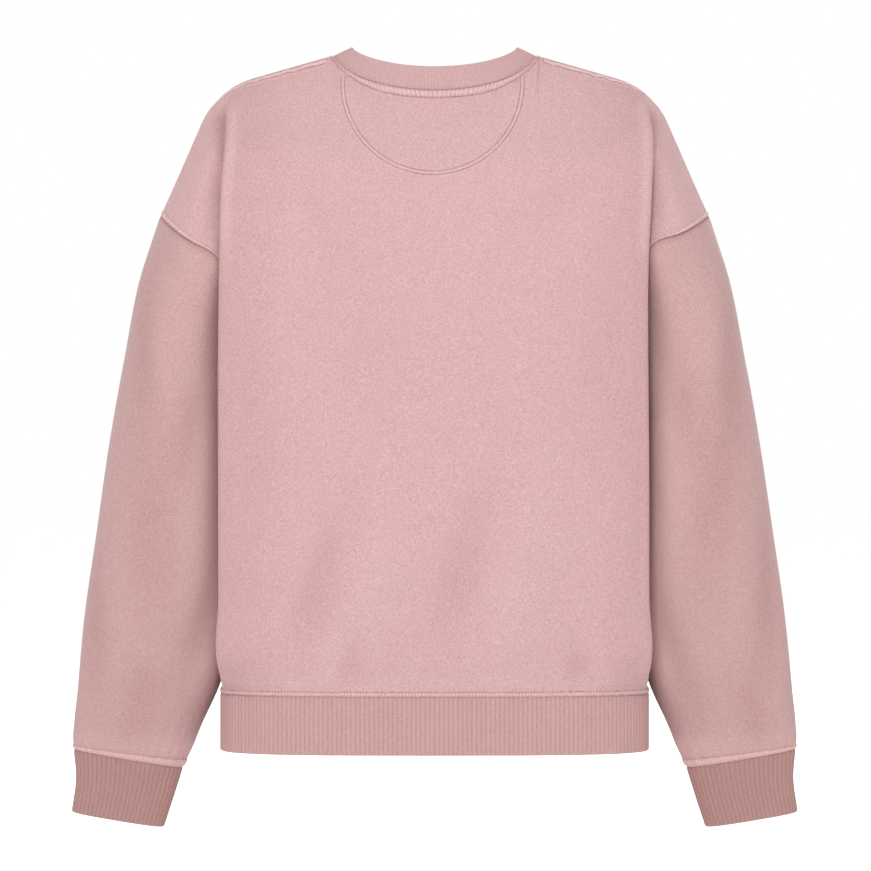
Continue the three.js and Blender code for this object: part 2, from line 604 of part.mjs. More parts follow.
const sides = { left: 1, right: -1 };
const panels = { back_panel: panelGrid("back"), front_panel: panelGrid("front") };
const sleeves = Object.fromEntries(
  Object.entries(sides).map(([name, side]) => [`sleeve_${name}`, sleeveGrid(side)]),
);
const cuffs = Object.fromEntries(Object.entries(sides).map(([name, side]) => [`cuff_${name}`, cuffGrid(side)]));
const collar = collarGrid();
const hemBand = hemGrid();
[...Object.values(panels), ...Object.values(sleeves), ...Object.values(cuffs), collar, hemBand]
  .forEach((grid) => addToSkin(garmentSkin, grid));

const panelWalls = {};
for (const [name, grid] of Object.entries(panels)) {
  panelWalls[name] = clothWall(grid, FLEECE, { below: true, above: true, sides: true }, false);
  addPiece(name, panelWalls[name].geometry, fleeceMaterial);
}
for (const [name, grid] of Object.entries(sleeves)) {
  addPiece(name, clothWall(grid, FLEECE, { below: true, above: true }, true).geometry, sleeveMaterial);
}
for (const [name, grid] of Object.entries(cuffs)) {
  addPiece(name, ribbedBand(grid, { above: true }, BAND_RIB_PITCH), ribMaterial);
}
addPiece("collar", ribbedBand(collar, { below: true }, COLLAR_RIB_PITCH), ribMaterial);
addPiece("hem_band", ribbedBand(hemBand, { above: true }, BAND_RIB_PITCH), ribMaterial);
addPiece("half_moon_facing", halfMoon(panelWalls.back_panel), facingMaterial);

export default garment;
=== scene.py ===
import math

import bpy
import numpy as np
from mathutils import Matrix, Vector
from mathutils.bvhtree import BVHTree


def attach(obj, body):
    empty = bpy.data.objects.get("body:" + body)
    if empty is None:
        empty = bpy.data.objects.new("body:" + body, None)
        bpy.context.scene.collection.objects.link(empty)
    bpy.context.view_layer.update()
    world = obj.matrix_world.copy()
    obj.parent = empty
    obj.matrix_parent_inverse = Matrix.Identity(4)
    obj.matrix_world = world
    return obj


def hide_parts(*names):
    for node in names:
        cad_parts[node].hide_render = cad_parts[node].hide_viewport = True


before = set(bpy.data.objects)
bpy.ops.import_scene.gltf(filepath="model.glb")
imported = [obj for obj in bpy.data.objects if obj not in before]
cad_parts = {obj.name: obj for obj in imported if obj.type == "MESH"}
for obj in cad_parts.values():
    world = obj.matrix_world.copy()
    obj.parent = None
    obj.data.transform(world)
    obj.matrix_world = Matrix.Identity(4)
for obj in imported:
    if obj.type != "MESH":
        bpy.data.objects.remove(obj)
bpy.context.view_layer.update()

MM = 0.001

# Form, in millimetres: the same sizes as the solids have
FLEECE = 2.0
RIB_CLOTH = 2.4
HEM_SEAM_Z = -615.3
HEM_Z = -670.4
HEM_HALF_WIDTH = 207
HEM_DEPTH = {"back": 97, "front": 100}
HEM_SQUARENESS = 3.2
NECK_HALF_WIDTH = 100
SHOULDER_SLOPE = math.radians(15.5)
ARM_SLOPE = math.radians(65.7)
SHOULDER_STRAIGHT = 77.9
SHOULDER_RADIUS = 78
SEAM_LENGTH = 245
SEAM_Y = 3
NECK_CURVE = 1.3
NECK_EDGES = [
    {"half_width": NECK_HALF_WIDTH, "back": 55, "front": -74, "side_y": 3, "side_z": 0,
     "back_drop": 36, "front_drop": 90},
    {"half_width": 79.5, "back": 44, "front": -58, "side_y": 0, "side_z": 10,
     "back_drop": 22, "front_drop": 82},
]
# Cutting lines of a half panel, across the cloth from its centre, and heights up it from the hem seam
NECK, YOKE, RIM, FOLD, TUCK, VALLEY, EDGE = 100, 150, 194, 205, 214, 240, 320
UNDERARM, TOP = 325, 580
HEM_SHARES = np.array([[0, 0], [YOKE, 0.56], [FOLD, 0.79], [VALLEY, 0.87], [EDGE, 1]])
HEM_STEPS = 801
TUCK_SHARE = 0.3  # place of the tuck between the fold and the valley
TUCK_OUT = 2.5
NECK_BLEND = 0.3
PANEL_BOW = 2.4
RIM_LIFT = 7

# up, z, depth, fold x left and right, fold y, fold z, valley x, y, z, swell, sink
ROWS = {
    "back": np.array([
        [25, -590, 103, 204.8, 204, 78, -590, 200, 44, -590, 0, 0],
        [95, -520, 108, 205.3, 203.6, 84, -520, 194, 45, -520, 0, 0],
        [215, -400, 110, 205.6, 203.5, 86, -400, 191, 46, -400, 0, 1],
        [325, -290, 110, 205.6, 202.6, 86, -290, 191.5, 48, -292, 0, 4],
        [400, -215, 108, 204.3, 202.3, 87, -213, 196, 64, -218, -2, 5],
        [470, -145, 101, 202.3, 205, 84, -140, 201.5, 65, -150, 0, 0],
        [530, -84, 80, 198, 207, 60, -76, 212, 53, -86, 6, 0],
    ]),
    "front": np.array([
        [25, -590, 107, 205, 205, 80, -590, 200, 44, -590, 0, 0],
        [95, -520, 113, 205, 205, 87, -520, 194, 45, -520, 0, 0],
        [215, -400, 118, 204, 204, 90, -400, 191, 46, -400, 0, 1],
        [325, -293, 120, 203, 203, 90, -290, 191.5, 48, -292, 0, 4],
        [400, -238, 119, 203, 203, 90, -213, 196, 64, -218, -2, 5],
        [470, -188, 114, 203, 203, 86, -140, 201.5, 65, -150, 0, 0],
        [530, -140, 100, 202, 202, 62, -76, 212, 53, -86, 6, 0],
    ]),
}
# up, x, z
SIDE_SEAM = np.array([
    [0, 207, HEM_SEAM_Z], [25, 201, -590], [95, 192, -520], [215, 187.5, -400], [325, 189, -290],
])
# share, x, y, z, rise
ARMHOLE = np.array([
    [0, 266, 0, -154, 0],
    [0.116, 259, 28, -162, 2],
    [0.325, 236, 68, -180, 6],
    [0.497, 206, 78, -198, 12],
    [0.655, 196, 56, -226, 10],
    [0.843, 190.5, 26, -261, 4],
    [1, 189, 0, -290, 0],
])
CUFF_SEAM = 526
# along, outer x, outer z, inner x, inner z, half depth, y, squareness
SLEEVE_RINGS = np.array([
    [49, 281, -200, 198, -330, 82, 0, 2.2],
    [147, 301, -296, 199, -375, 87, 0, 2.3],
    [226, 315, -374, 199, -440, 83, -2, 2.4],
    [316, 328.5, -463, 199, -510, 75, -6, 2.5],
    [394, 340, -540, 203, -570, 66, -10, 2.5],
    [466, 348.5, -612, 211, -614, 54, -13, 2.5],
    [504, 351.8, -650, 229, -653, 41, -14, 2.4],
    [CUFF_SEAM, 351, -672.5, 245.5, -690.5, 27, -15, 2.3],
])
CUFF_TOP, CUFF_END = 528, 588
CUFF_RINGS = np.array([
    [CUFF_TOP, 351, -672.5, 245.5, -690.5, 27, -15, 2.3],
    [556, 349.2, -700, 253.5, -716, 21, -15, 2.3],
    [CUFF_END, 353.4, -733, 264, -748, 20, -15, 2.3],
])

# Soft folds of a panel: across, up, slant (across for each mm up), half width, half height, and depth,
# which is below 0 for a ridge
PANEL_FOLDS = {
    "back": [
        [113, 95, -0.26, 17, 80, 4.56], [80, 14, -0.15, 12, 48, 3.12], [-24, 112, -0.26, 19, 85, 4.08],
        [-137, 12, 0.06, 13, 46, 3.84], [98, 14, -0.12, 10, 45, -2.16], [62, 95, -0.26, 22, 85, -2.16],
        [-72, 90, -0.2, 22, 90, -1.92], [-160, 5, 0.12, 10, 40, -1.68], [165, 240, 0.06, 30, 120, 1.68],
        [-150, 300, -0.05, 34, 130, 2.16], [60, 330, 0.3, 40, 100, 1.44], [95, 440, 0.7, 26, 60, 1.44],
        [-110, 470, -0.6, 30, 60, 1.44],
    ],
    "front": [
        [118, 80, -0.2, 20, 85, 4.56], [36, 12, -0.06, 14, 50, 3.12], [-52, 100, 0.22, 20, 90, 4.08],
        [-140, 12, 0.09, 15, 52, 3.84], [92, 10, -0.1, 12, 46, -2.16], [-10, 60, 0.08, 18, 80, -1.92],
        [-104, 40, 0.15, 16, 70, -2.16], [160, 230, 0.06, 30, 110, 1.8], [-152, 280, -0.05, 32, 130, 1.92],
        [50, 380, 0.4, 34, 90, 1.56], [-70, 400, -0.5, 34, 90, 1.68],
    ],
}
# Soft folds of a sleeve: share round it, along, twist (share for each mm along), half width, half length
# and depth
SLEEVE_FOLDS = {
    1: [
        [0.30, 120, 0.0010, 22, 90, 2.7], [0.62, 150, -0.0008, 20, 90, 3.24],
        [0.45, 300, 0.0006, 24, 90, 2.43], [0.22, 400, 0.0012, 18, 80, 2.7],
        [0.72, 380, -0.0010, 18, 80, 2.97], [0.50, 480, 0.0, 16, 50, 2.43],
        [1.35, 140, 0.0010, 22, 90, 2.97], [1.65, 260, -0.0008, 22, 90, 2.97],
        [1.30, 420, 0.0010, 20, 70, 3.24], [1.80, 430, -0.0008, 18, 60, 2.7],
        [0.05, 470, 0.0, 16, 50, 1.89],
    ],
    -1: [
        [0.28, 150, 0.0012, 22, 90, 2.97], [0.60, 120, -0.0008, 20, 80, 2.97],
        [0.48, 270, 0.0007, 24, 90, 2.16], [0.25, 370, 0.0010, 18, 90, 2.97],
        [0.70, 420, -0.0010, 18, 70, 2.97], [0.42, 485, 0.0, 16, 45, 2.43],
        [1.38, 170, 0.0009, 22, 90, 2.97], [1.62, 240, -0.0008, 22, 90, 2.7],
        [1.33, 390, 0.0010, 20, 80, 3.24], [1.76, 440, -0.0008, 18, 60, 2.7],
        [0.08, 465, 0.0, 16, 50, 1.89],
    ],
}

# Ribs in each band: 4.4 mm apart at the hem, 4.2 to 5.1 mm at the cuffs, 2.8 to 3.4 mm at the collar
HEM_RIBS = 240
CUFF_RIBS = 52
COLLAR_RIBS = 176
STEPS_A_RIB = 6
TUCKED = 0.8  # the rib bands reach this far under the cloth that they are sewn to
# About the way round the hem and a cuff, and half the way round a sleeve
HEM_ROUND = 1060
CUFF_ROUND = 200
SLEEVE_ROUND = 195

STITCH = 2.9
NECK_STITCH = 4.4
THREAD_WIDE = 0.34
THREAD_RISE = 0.12
TWIN_GAP = 3.6
HALF_MOON_WIDE = 86  # half width and depth of the half-moon's stitched outline, and its centre
HALF_MOON_DEEP = 89
HALF_MOON_X = 2
HALF_MOON_Z = -29
HALF_MOON_TURN = 1.645  # how far its outline runs from its lowest point, in radians
FACING_WALL = 1.2
FACING_IN = 3.3

# Cross sections of the stitched strips along seams: inset, rise, tone (above 0 paler, below 0 deeper:
# painted highlights on the raised cloth and painted shade in the grooves), puckers
HEM_STRIP = np.array([
    [0, -0.2, -0.15, 0], [0.9, 0.3, -0.15, 0.2], [1.7, 0.8, 0.1, 1], [3.5, 0.9, 0.2, 1],
    [4.5, 0.6, 0, 0.6], [5.3, 0.15, -0.75, 0.2], [6.4, -0.4, -0.1, 0],
])
CUFF_STRIP = HEM_STRIP + np.array([0, 0, 0.35, 0])
NECK_STRIP = np.array([
    [0, -0.4, -0.7, 0], [0.9, 0.5, -0.4, 0.1], [1.8, 1.2, 0, 0.7], [4.5, 1.5, 0.25, 0.8],
    [7.2, 1.2, 0.1, 0.7], [8.1, 0.7, -0.4, 0.4], [9, 0.1, -0.7, 0.2], [10.2, -0.5, 0, 0],
])
SHOULDER_STRIP = np.array([
    [5, -0.3, 0, 0], [6.4, 0.4, 0.1, 0.1], [7.1, 0.35, 0.05, 0.1], [7.8, -0.05, -0.8, 0],
    [8.6, 0.35, 0.3, 0.2], [10.2, 0.6, 0.5, 0.3], [11.8, 0.35, 0.3, 0.2], [12.6, -0.05, -0.8, 0],
    [13.4, 0.3, 0.1, 0.1], [14.6, 0.12, 0.05, 0], [16, -0.3, 0, 0],
])
SHOULDER_ROWS = (7.8, 12.6)  # insets of its two rows of stitches, in the grooves
ARMHOLE_STRIP = np.array([
    [0, -0.5, -0.9, 0], [0.8, 0.3, -0.5, 0.1], [1.6, 0.8, 0.2, 0.4], [3, 0.85, 0.35, 0.5],
    [4.2, 0.4, 0.1, 0.2], [4.9, 0.05, -0.35, 0], [6.4, -0.35, 0, 0],
])
TWIN_STRIP = np.array([
    [-5.1, -0.3, 0, 0], [-3.6, 0.15, 0.04, 0], [-2.5, 0.3, 0.04, 0.1], [-1.8, -0.05, -0.85, 0],
    [-1.1, 0.3, 0.05, 0.1], [0, 0.45, 0.16, 0.2], [1.1, 0.3, 0.05, 0.1], [1.8, -0.05, -0.85, 0],
    [2.5, 0.3, 0.04, 0.1], [3.6, 0.15, 0.04, 0], [5.1, -0.3, 0, 0],
])


def smooth(knots, values, at, end_slope=None):
    """Points at the given places on the smooth curves through the values."""
    knots, values, at = np.asarray(knots, float), np.asarray(values, float), np.asarray(at, float)
    spans = np.diff(knots)
    shape = (-1,) + (1,) * (values.ndim - 1)
    steps = np.diff(values, axis=0) / spans.reshape(shape)
    slopes = np.empty_like(values)
    slopes[0], slopes[-1] = steps[0], steps[-1]
    before, after = spans[:-1].reshape(shape), spans[1:].reshape(shape)
    slopes[1:-1] = (steps[:-1] * after + steps[1:] * before) / (before + after)
    if end_slope is not None:
        slopes[-1] = end_slope
    i = np.clip(np.searchsorted(knots, at, side="right") - 1, 0, len(spans) - 1)
    t = ((at - knots[i]) / spans[i]).reshape(shape)
    span = spans[i].reshape(shape)
    return (
        values[i] * (2 * t**3 - 3 * t**2 + 1)
        + slopes[i] * span * (t**3 - 2 * t**2 + t)
        + values[i + 1] * (3 * t**2 - 2 * t**3)
        + slopes[i + 1] * span * (t**3 - t**2)
    )


def smoothstep(x, low, high):
    t = np.clip((np.asarray(x, float) - low) / (high - low), 0, 1)
    return t * t * (3 - 2 * t)


def points(x, y, z):
    return np.stack(np.broadcast_arrays(x, y, z), axis=-1).astype(float)


def lengths_along(line):
    """Length along a line of points from its start to each of them."""
    return np.concatenate([[0], np.cumsum(np.linalg.norm(np.diff(line, axis=0), axis=1))])


def points_at(places, run, line):
    """Points of a line at the given lengths along it."""
    return np.stack([np.interp(places, run, line[:, k]) for k in range(3)], axis=-1)


def spaced(marks):
    """Places from mark to mark, each stretch with its own spacing."""
    out = [marks[0][0]]
    for (start, gap), (end, _) in zip(marks, marks[1:]):
        count = max(1, round((end - start) / gap))
        out.extend(start + (end - start) * np.arange(1, count + 1) / count)
    return np.array(out)


def every(step, start, end):
    return np.linspace(start, end, max(2, round(abs(end - start) / step) + 1))


def rounded(angle, squareness):
    c, s = np.cos(angle), np.sin(angle)
    return np.sign(c) * np.abs(c) ** (2 / squareness), np.sign(s) * np.abs(s) ** (2 / squareness)


def shoulder_seam(distance):
    turn = ARM_SLOPE - SHOULDER_SLOPE
    straight = np.minimum(distance, SHOULDER_STRAIGHT)
    turned = np.clip((distance - SHOULDER_STRAIGHT) / SHOULDER_RADIUS, 0, turn)
    beyond = np.maximum(0, distance - SHOULDER_STRAIGHT - SHOULDER_RADIUS * turn)
    x = (
        NECK_HALF_WIDTH + straight * math.cos(SHOULDER_SLOPE)
        + SHOULDER_RADIUS * (np.sin(SHOULDER_SLOPE + turned) - math.sin(SHOULDER_SLOPE))
        + beyond * math.cos(ARM_SLOPE)
    )
    z = (
        -straight * math.sin(SHOULDER_SLOPE)
        - SHOULDER_RADIUS * (math.cos(SHOULDER_SLOPE) - np.cos(SHOULDER_SLOPE + turned))
        - beyond * math.sin(ARM_SLOPE)
    )
    return points(x, SEAM_Y, z)


def neck_edge(face, angle, level):
    """Neck seam (level 0) to the collar's free edge (level 1), from the centre line to the shoulder."""
    seam, upper = NECK_EDGES
    size = {key: seam[key] + (upper[key] - seam[key]) * level for key in seam}
    low = np.maximum(0, np.cos(angle))
    x = size["half_width"] * np.sin(angle)
    y = size["side_y"] + (size[face] - size["side_y"]) * low
    return points(x, y, size["side_z"] - size[f"{face}_drop"] * low**NECK_CURVE)


def hem_point(face, across, z):
    shares = smooth(HEM_SHARES[:, 0], HEM_SHARES[:, 1], across)
    y, x = rounded(np.linspace(0, math.pi / 2, HEM_STEPS), HEM_SQUARENESS)
    outline = np.stack([HEM_HALF_WIDTH * x, HEM_DEPTH[face] * y], axis=-1)
    length = lengths_along(outline)
    at = np.clip(shares, 0, 1) * length[-1]
    sign = 1 if face == "back" else -1
    return points(np.interp(at, length, outline[:, 0]), sign * np.interp(at, length, outline[:, 1]), z)


def armhole(face, side, share):
    sign = 1 if face == "back" else -1
    y = sign * ARMHOLE[:, 2] + SEAM_Y * (1 - ARMHOLE[:, 0]) ** 2
    z = ARMHOLE[:, 3] + (0 if side > 0 else ARMHOLE[:, 4])
    return smooth(ARMHOLE[:, 0], points(ARMHOLE[:, 1], y, z), share)


def panel_edge(face, side, up):
    share = np.clip((TOP - up) / (TOP - UNDERARM), 0, 1)
    seam = smooth(SIDE_SEAM[:, 0], points(SIDE_SEAM[:, 1], 0, SIDE_SEAM[:, 2]), np.minimum(up, UNDERARM))
    return np.where((up >= UNDERARM)[:, None], armhole(face, side, share), seam)


def top_edge(face, across):
    neck = neck_edge(face, math.pi / 2 * np.minimum(across, NECK) / NECK, 0)
    beyond = (across - FOLD) / (EDGE - FOLD)
    to_fold = FOLD - NECK
    along = np.where(across <= FOLD, across - NECK, to_fold + (SEAM_LENGTH - to_fold) * beyond)
    return np.where((across <= NECK)[:, None], neck, shoulder_seam(np.maximum(along, 0)))


def row_line(face, side, row, across):
    """One crosswise line of a panel, from the centre to the valley."""
    _, z, depth, left, right, fold_y, fold_z, valley_x, valley_y, valley_z, _, _ = row
    fold_x = left if side > 0 else right
    at = np.array([0, 50, NECK, YOKE, RIM])
    flat = points(
        fold_x * at / FOLD,
        depth - (depth - fold_y - RIM_LIFT) * (at / RIM) ** PANEL_BOW,
        z + (fold_z - z) * (at / FOLD) ** 2,
    )
    fold, valley = np.array([fold_x, fold_y, fold_z]), np.array([valley_x, valley_y, valley_z])
    tuck = fold + TUCK_SHARE * (valley - fold) + np.array([TUCK_OUT, 0, 0])
    line = smooth([*at, FOLD, TUCK, VALLEY], np.vstack([flat, fold, tuck, valley]), across)
    return line * np.array([1, 1 if face == "back" else -1, 1])


def inner_panel(face, side, across, up):
    """From the centre to the valley. Beside the neck, the panels round over into each other at the top."""
    knots = [0, *ROWS[face][:, 0], TOP]

    def columns(of):
        rows = [row_line(of, side, row, across) for row in ROWS[of]]
        return np.stack([hem_point(of, across, HEM_SEAM_Z), *rows, top_edge(of, across)])

    own = columns(face)
    over = (columns("front" if face == "back" else "back")[-2] - own[-2]) / (2 * (TOP - knots[-2]))
    plain = (own[-1] - own[-2]) / (TOP - knots[-2])
    blend = smoothstep(across, NECK * NECK_BLEND, NECK)[:, None]
    return smooth(knots, own, up, plain + (over - plain) * blend)


def outer_panel(face, side, across, up):
    """From the valley to the seam at the panel's edge."""
    share = ((across - VALLEY) / (EDGE - VALLEY))[None, :, None]
    ends = np.array([VALLEY, EDGE])
    low, high = inner_panel(face, side, ends[:1], up), panel_edge(face, side, up)[:, None]
    on = low + (high - low) * share
    rows = ROWS[face]
    sign = 1 if face == "back" else -1
    bulges = points(-rows[:, 11], sign * rows[:, 10], 0)
    bulges = smooth([0, *rows[:, 0], TOP], np.vstack([np.zeros(3), bulges, np.zeros(3)]), up)
    on = on + bulges[:, None] * 4 * share * (1 - share)
    for edge, weight in (
        (lambda at: hem_point(face, at, HEM_SEAM_Z), 1 - smoothstep(up, 0, rows[0, 0])),
        (lambda at: top_edge(face, at), smoothstep(up, rows[-1, 0], TOP)),
    ):
        corners = edge(ends)
        bow = edge(across) - (corners[0] + (corners[1] - corners[0]) * share[0])
        on = on + bow[None] * weight[:, None, None]
    return on


def half_panel(face, side, across, up):
    inner = inner_panel(face, side, across[across <= VALLEY], up)
    outer = outer_panel(face, side, across[across > VALLEY], up)
    return np.concatenate([inner, outer], axis=1) * np.array([side, 1, 1])


def panel_surface(face, across, up):
    """Grid of a panel's points, rows going up. across runs from the wearer's right to left."""
    right, left = across[across < 0], across[across >= 0]
    return np.concatenate([
        half_panel(face, -1, -right[::-1], up)[:, ::-1],
        half_panel(face, 1, left, up),
    ], axis=1)


def ring(row, share):
    _, outer_x, outer_z, inner_x, inner_z, half, y, squareness = row
    out, back = rounded(math.pi * share, squareness)
    return points(
        (outer_x + inner_x) / 2 + (outer_x - inner_x) / 2 * out,
        y + half * back,
        (outer_z + inner_z) / 2 + (outer_z - inner_z) / 2 * out,
    )


def sleeve_surface(side, along, share):
    back = armhole("back", side, np.minimum(share, 1))
    front = armhole("front", side, np.clip(2 - share, 0, 1))
    top = np.where((share <= 1)[:, None], back, front)
    rows = np.stack([top, *[ring(row, share) for row in SLEEVE_RINGS]])
    return smooth([0, *SLEEVE_RINGS[:, 0]], rows, along) * np.array([side, 1, 1])


def cuff_surface(side, along, share):
    rows = np.stack([ring(row, share) for row in CUFF_RINGS])
    return smooth(CUFF_RINGS[:, 0], rows, along) * np.array([side, 1, 1])


def turn(place, steps):
    """Points once round the garment, anticlockwise from the centre back over the wearer's right."""
    flip = np.array([-1, 1, 1])
    return np.concatenate([
        place("back", steps) * flip, place("front", steps[::-1])[1:] * flip,
        place("front", steps)[1:], place("back", steps[::-1])[1:],
    ])


def facing(grid, closed=False):
    """Unit directions out of the cloth at a grid's points."""
    if closed:
        across = np.roll(grid, -1, axis=1) - np.roll(grid, 1, axis=1)
    else:
        across = np.gradient(grid, axis=1)
    out = np.cross(across, np.gradient(grid, axis=0))
    length = np.linalg.norm(out, axis=-1, keepdims=True)
    return out / np.maximum(length, 1e-9)


def bell(x):
    return np.exp(-(x**2))


def uneven(at, waves, seed):
    """Smooth uneven values between about -1 and 1, with waves of about that many millimetres."""
    rng = np.random.default_rng(seed)
    total = np.zeros_like(np.asarray(at, float))
    for k in range(5):
        length = waves * (0.6 + 1.1 * rng.random())
        total = total + np.sin(2 * math.pi * (at / length + rng.random())) * (0.35 + 0.3 * rng.random())
    return total / 1.6


# Meshes


def linear(hex_colour):
    channels = [int(hex_colour[i:i + 2], 16) / 255 for i in (0, 2, 4)]
    return [c / 12.92 if c <= 0.04045 else ((c + 0.055) / 1.055) ** 2.4 for c in channels] + [1.0]


def mesh_piece(name, vertices, faces, material, painted_light_and_tone=None, thickness=0.0):
    mesh = bpy.data.meshes.new(name)
    mesh.from_pydata((np.asarray(vertices) * MM).tolist(), [], np.asarray(faces).tolist())
    mesh.polygons.foreach_set("use_smooth", [True] * len(mesh.polygons))
    tone_values = np.zeros(len(vertices)) if painted_light_and_tone is None else np.asarray(painted_light_and_tone, float).ravel()
    # Tone at each point: mostly painted highlights on raised cloth and painted shade in creases, grooves
    # and hollows
    mesh.attributes.new("painted_light_and_tone", "FLOAT", "POINT").data.foreach_set("value", tone_values)
    mesh.materials.append(material)
    mesh.update()
    piece = bpy.data.objects.new(name, mesh)
    bpy.context.scene.collection.objects.link(piece)
    if thickness:
        wall = piece.modifiers.new("Wall", "SOLIDIFY")
        wall.thickness = thickness * MM
        wall.offset = -1
    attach(piece, "root")
    return piece


def grid_faces(rows, columns, closed):
    r, c = np.meshgrid(np.arange(rows - 1), np.arange(columns if closed else columns - 1), indexing="ij")
    after = (c + 1) % columns
    low, high = r * columns, (r + 1) * columns
    return np.stack([low + c, low + after, high + after, high + c], axis=-1).reshape(-1, 4)


def cloth(name, grid, material, painted_light_and_tone, thickness, closed=False):
    faces = grid_faces(*grid.shape[:2], closed)
    return mesh_piece(name, grid.reshape(-1, 3), faces, material, painted_light_and_tone, thickness)


STITCH_SHAPE = np.array([[-0.5, 0, 0], [0, -0.5, 0], [0, 0, 0.55], [0, 0.5, 0], [0, 0, -0.5], [0.5, 0, 0]])
STITCH_FACES = np.array([
    [0, 1, 2], [0, 2, 3], [0, 3, 4], [0, 4, 1], [5, 2, 1], [5, 3, 2], [5, 4, 3], [5, 1, 4],
])
STITCH_SHARE = 0.86  # of the pitch, the rest lies under the cloth


def stitches(name, lines, material):
    """Short raised stitches along lines, each given as points and directions out of the cloth."""
    corners, faces = [], []
    made = 0
    for line, out in lines:
        run = lengths_along(line)
        centres = np.arange(STITCH / 2, run[-1], STITCH)
        middle, normal = points_at(centres, run, line), points_at(centres, run, out)
        along = points_at(centres + 0.4 * STITCH, run, line) - points_at(centres - 0.4 * STITCH, run, line)
        along /= np.maximum(np.linalg.norm(along, axis=1, keepdims=True), 1e-9)
        aside = np.cross(normal, along)
        sized = STITCH_SHAPE * np.array([STITCH * STITCH_SHARE, THREAD_WIDE, THREAD_WIDE])
        body = (
            middle[:, None] + along[:, None] * sized[None, :, :1]
            + aside[:, None] * sized[None, :, 1:2] + normal[:, None] * sized[None, :, 2:]
        )
        corners.append(body.reshape(-1, 3))
        first = len(STITCH_SHAPE) * np.arange(len(centres))[:, None, None] + made
        faces.append((STITCH_FACES[None] + first).reshape(-1, 3))
        made += len(STITCH_SHAPE) * len(centres)
    return mesh_piece(name, np.concatenate(corners), np.concatenate(faces), material)


def strip(name, grid, out, insets, profile, material, seed, pitch=STITCH, closed=False, taper=0):
    """Raised strip of cloth that stitching makes along a seam. The grid's rows lie at the insets from the
    seam, its columns along it, and stitches pucker it at the pitch. An open strip may taper to its ends."""
    run = lengths_along(grid[0])
    rise, painted_light_and_tone, beads = (np.interp(insets, profile[:, 0], profile[:, k])[:, None] for k in (1, 2, 3))
    strength = 0.75 + 0.4 * uneven(run, 45, seed + 1)
    wave = np.sin(2 * math.pi * run / pitch + 0.8 * uneven(run, 26, seed)) * strength
    rise = rise * (1 + 0.14 * uneven(run, 16, seed + 2)) + 0.28 * beads * wave
    # Painted highlights on the tops of the puckers and painted shade between them
    painted_light_and_tone = painted_light_and_tone * (1 + 0.2 * uneven(run, 33, seed + 3)) + 0.42 * beads * wave
    if taper:
        rise = rise * smoothstep(np.minimum(run, run[-1] - run), -taper, taper)
    raised = grid + out * rise[..., None]
    if np.sum(facing(raised, closed) * out) < 0:
        raised, painted_light_and_tone = raised[:, ::-1], painted_light_and_tone[:, ::-1]
    piece = cloth(name, raised, material, painted_light_and_tone, 0, closed)
    return piece


# Materials


def add(nodes, links, kind, settings=None, inputs=None):
    node = nodes.new(kind)
    for key, value in (settings or {}).items():
        setattr(node, key, value)
    for key, value in (inputs or {}).items():
        if isinstance(value, bpy.types.NodeSocket):
            links.new(value, node.inputs[key])
        else:
            node.inputs[key].default_value = value
    return node


MOTTLE_MM = 22
# How far the mottling and the speckle turn the dye towards its paler or deeper colour
MOTTLE = 0.03
SPECKLE = 0.3


def dyed_cotton(name, colour, pale_tone, deep, grain_mm, bump_mm, sheen):
    """Matt pigment-washed cotton: a fine loopy surface, faint mottling where the dye wore away, painted
    highlights on raised edges and painted shade in creases. The fibres are too fine to show, so the grain
    is drawn coarser."""
    material = bpy.data.materials.new(name)
    material.use_nodes = True
    nodes, links = material.node_tree.nodes, material.node_tree.links
    nodes.clear()
    place = add(nodes, links, "ShaderNodeTexCoord").outputs["Object"]
    grain = add(nodes, links, "ShaderNodeTexNoise", inputs={
        "Vector": place, "Scale": 1 / (grain_mm * MM), "Detail": 3.0})
    mottle = add(nodes, links, "ShaderNodeTexNoise", inputs={
        "Vector": place, "Scale": 1 / (MOTTLE_MM * MM), "Detail": 5.0, "Roughness": 0.65})
    painted_light_and_tone = add(nodes, links, "ShaderNodeAttribute", {"attribute_name": "painted_light_and_tone"}).outputs["Fac"]
    speckle = add(nodes, links, "ShaderNodeMapRange", inputs={
        "Value": grain.outputs["Fac"], "From Min": 0.25, "From Max": 0.75,
        "To Min": -SPECKLE, "To Max": SPECKLE})
    cloud = add(nodes, links, "ShaderNodeMapRange", inputs={
        "Value": mottle.outputs["Fac"], "From Min": 0.3, "From Max": 0.7,
        "To Min": -MOTTLE, "To Max": MOTTLE})
    both = add(nodes, links, "ShaderNodeMath", {"operation": "ADD"}, {
        0: speckle.outputs[0], 1: cloud.outputs[0]})
    # Grain and mottling of the dye, plus the painted highlights and painted shade of the attribute
    grain_and_painted_light = add(nodes, links, "ShaderNodeMath", {"operation": "ADD"}, {0: both.outputs[0], 1: painted_light_and_tone})
    lighter = add(nodes, links, "ShaderNodeClamp", inputs={"Value": grain_and_painted_light.outputs[0]})
    darker = add(nodes, links, "ShaderNodeMath", {"operation": "MULTIPLY", "use_clamp": True}, {
        0: grain_and_painted_light.outputs[0], 1: -1.0})
    pale = add(nodes, links, "ShaderNodeMix", {"data_type": "RGBA"}, {
        "Factor": lighter.outputs[0], "A": linear(colour), "B": linear(pale_tone)})
    shade = add(nodes, links, "ShaderNodeMix", {"data_type": "RGBA"}, {
        "Factor": darker.outputs[0], "A": pale.outputs["Result"], "B": linear(deep)})
    bump = add(nodes, links, "ShaderNodeBump", inputs={
        "Strength": 1.0, "Distance": bump_mm * MM, "Height": grain.outputs["Fac"]})
    shader = add(nodes, links, "ShaderNodeBsdfPrincipled", inputs={
        "Base Color": shade.outputs["Result"], "Roughness": 0.95, "Specular IOR Level": 0.15,
        "Sheen Weight": sheen, "Sheen Roughness": 0.5, "Normal": bump.outputs["Normal"]})
    add(nodes, links, "ShaderNodeOutputMaterial", inputs={"Surface": shader.outputs["BSDF"]})
    return material


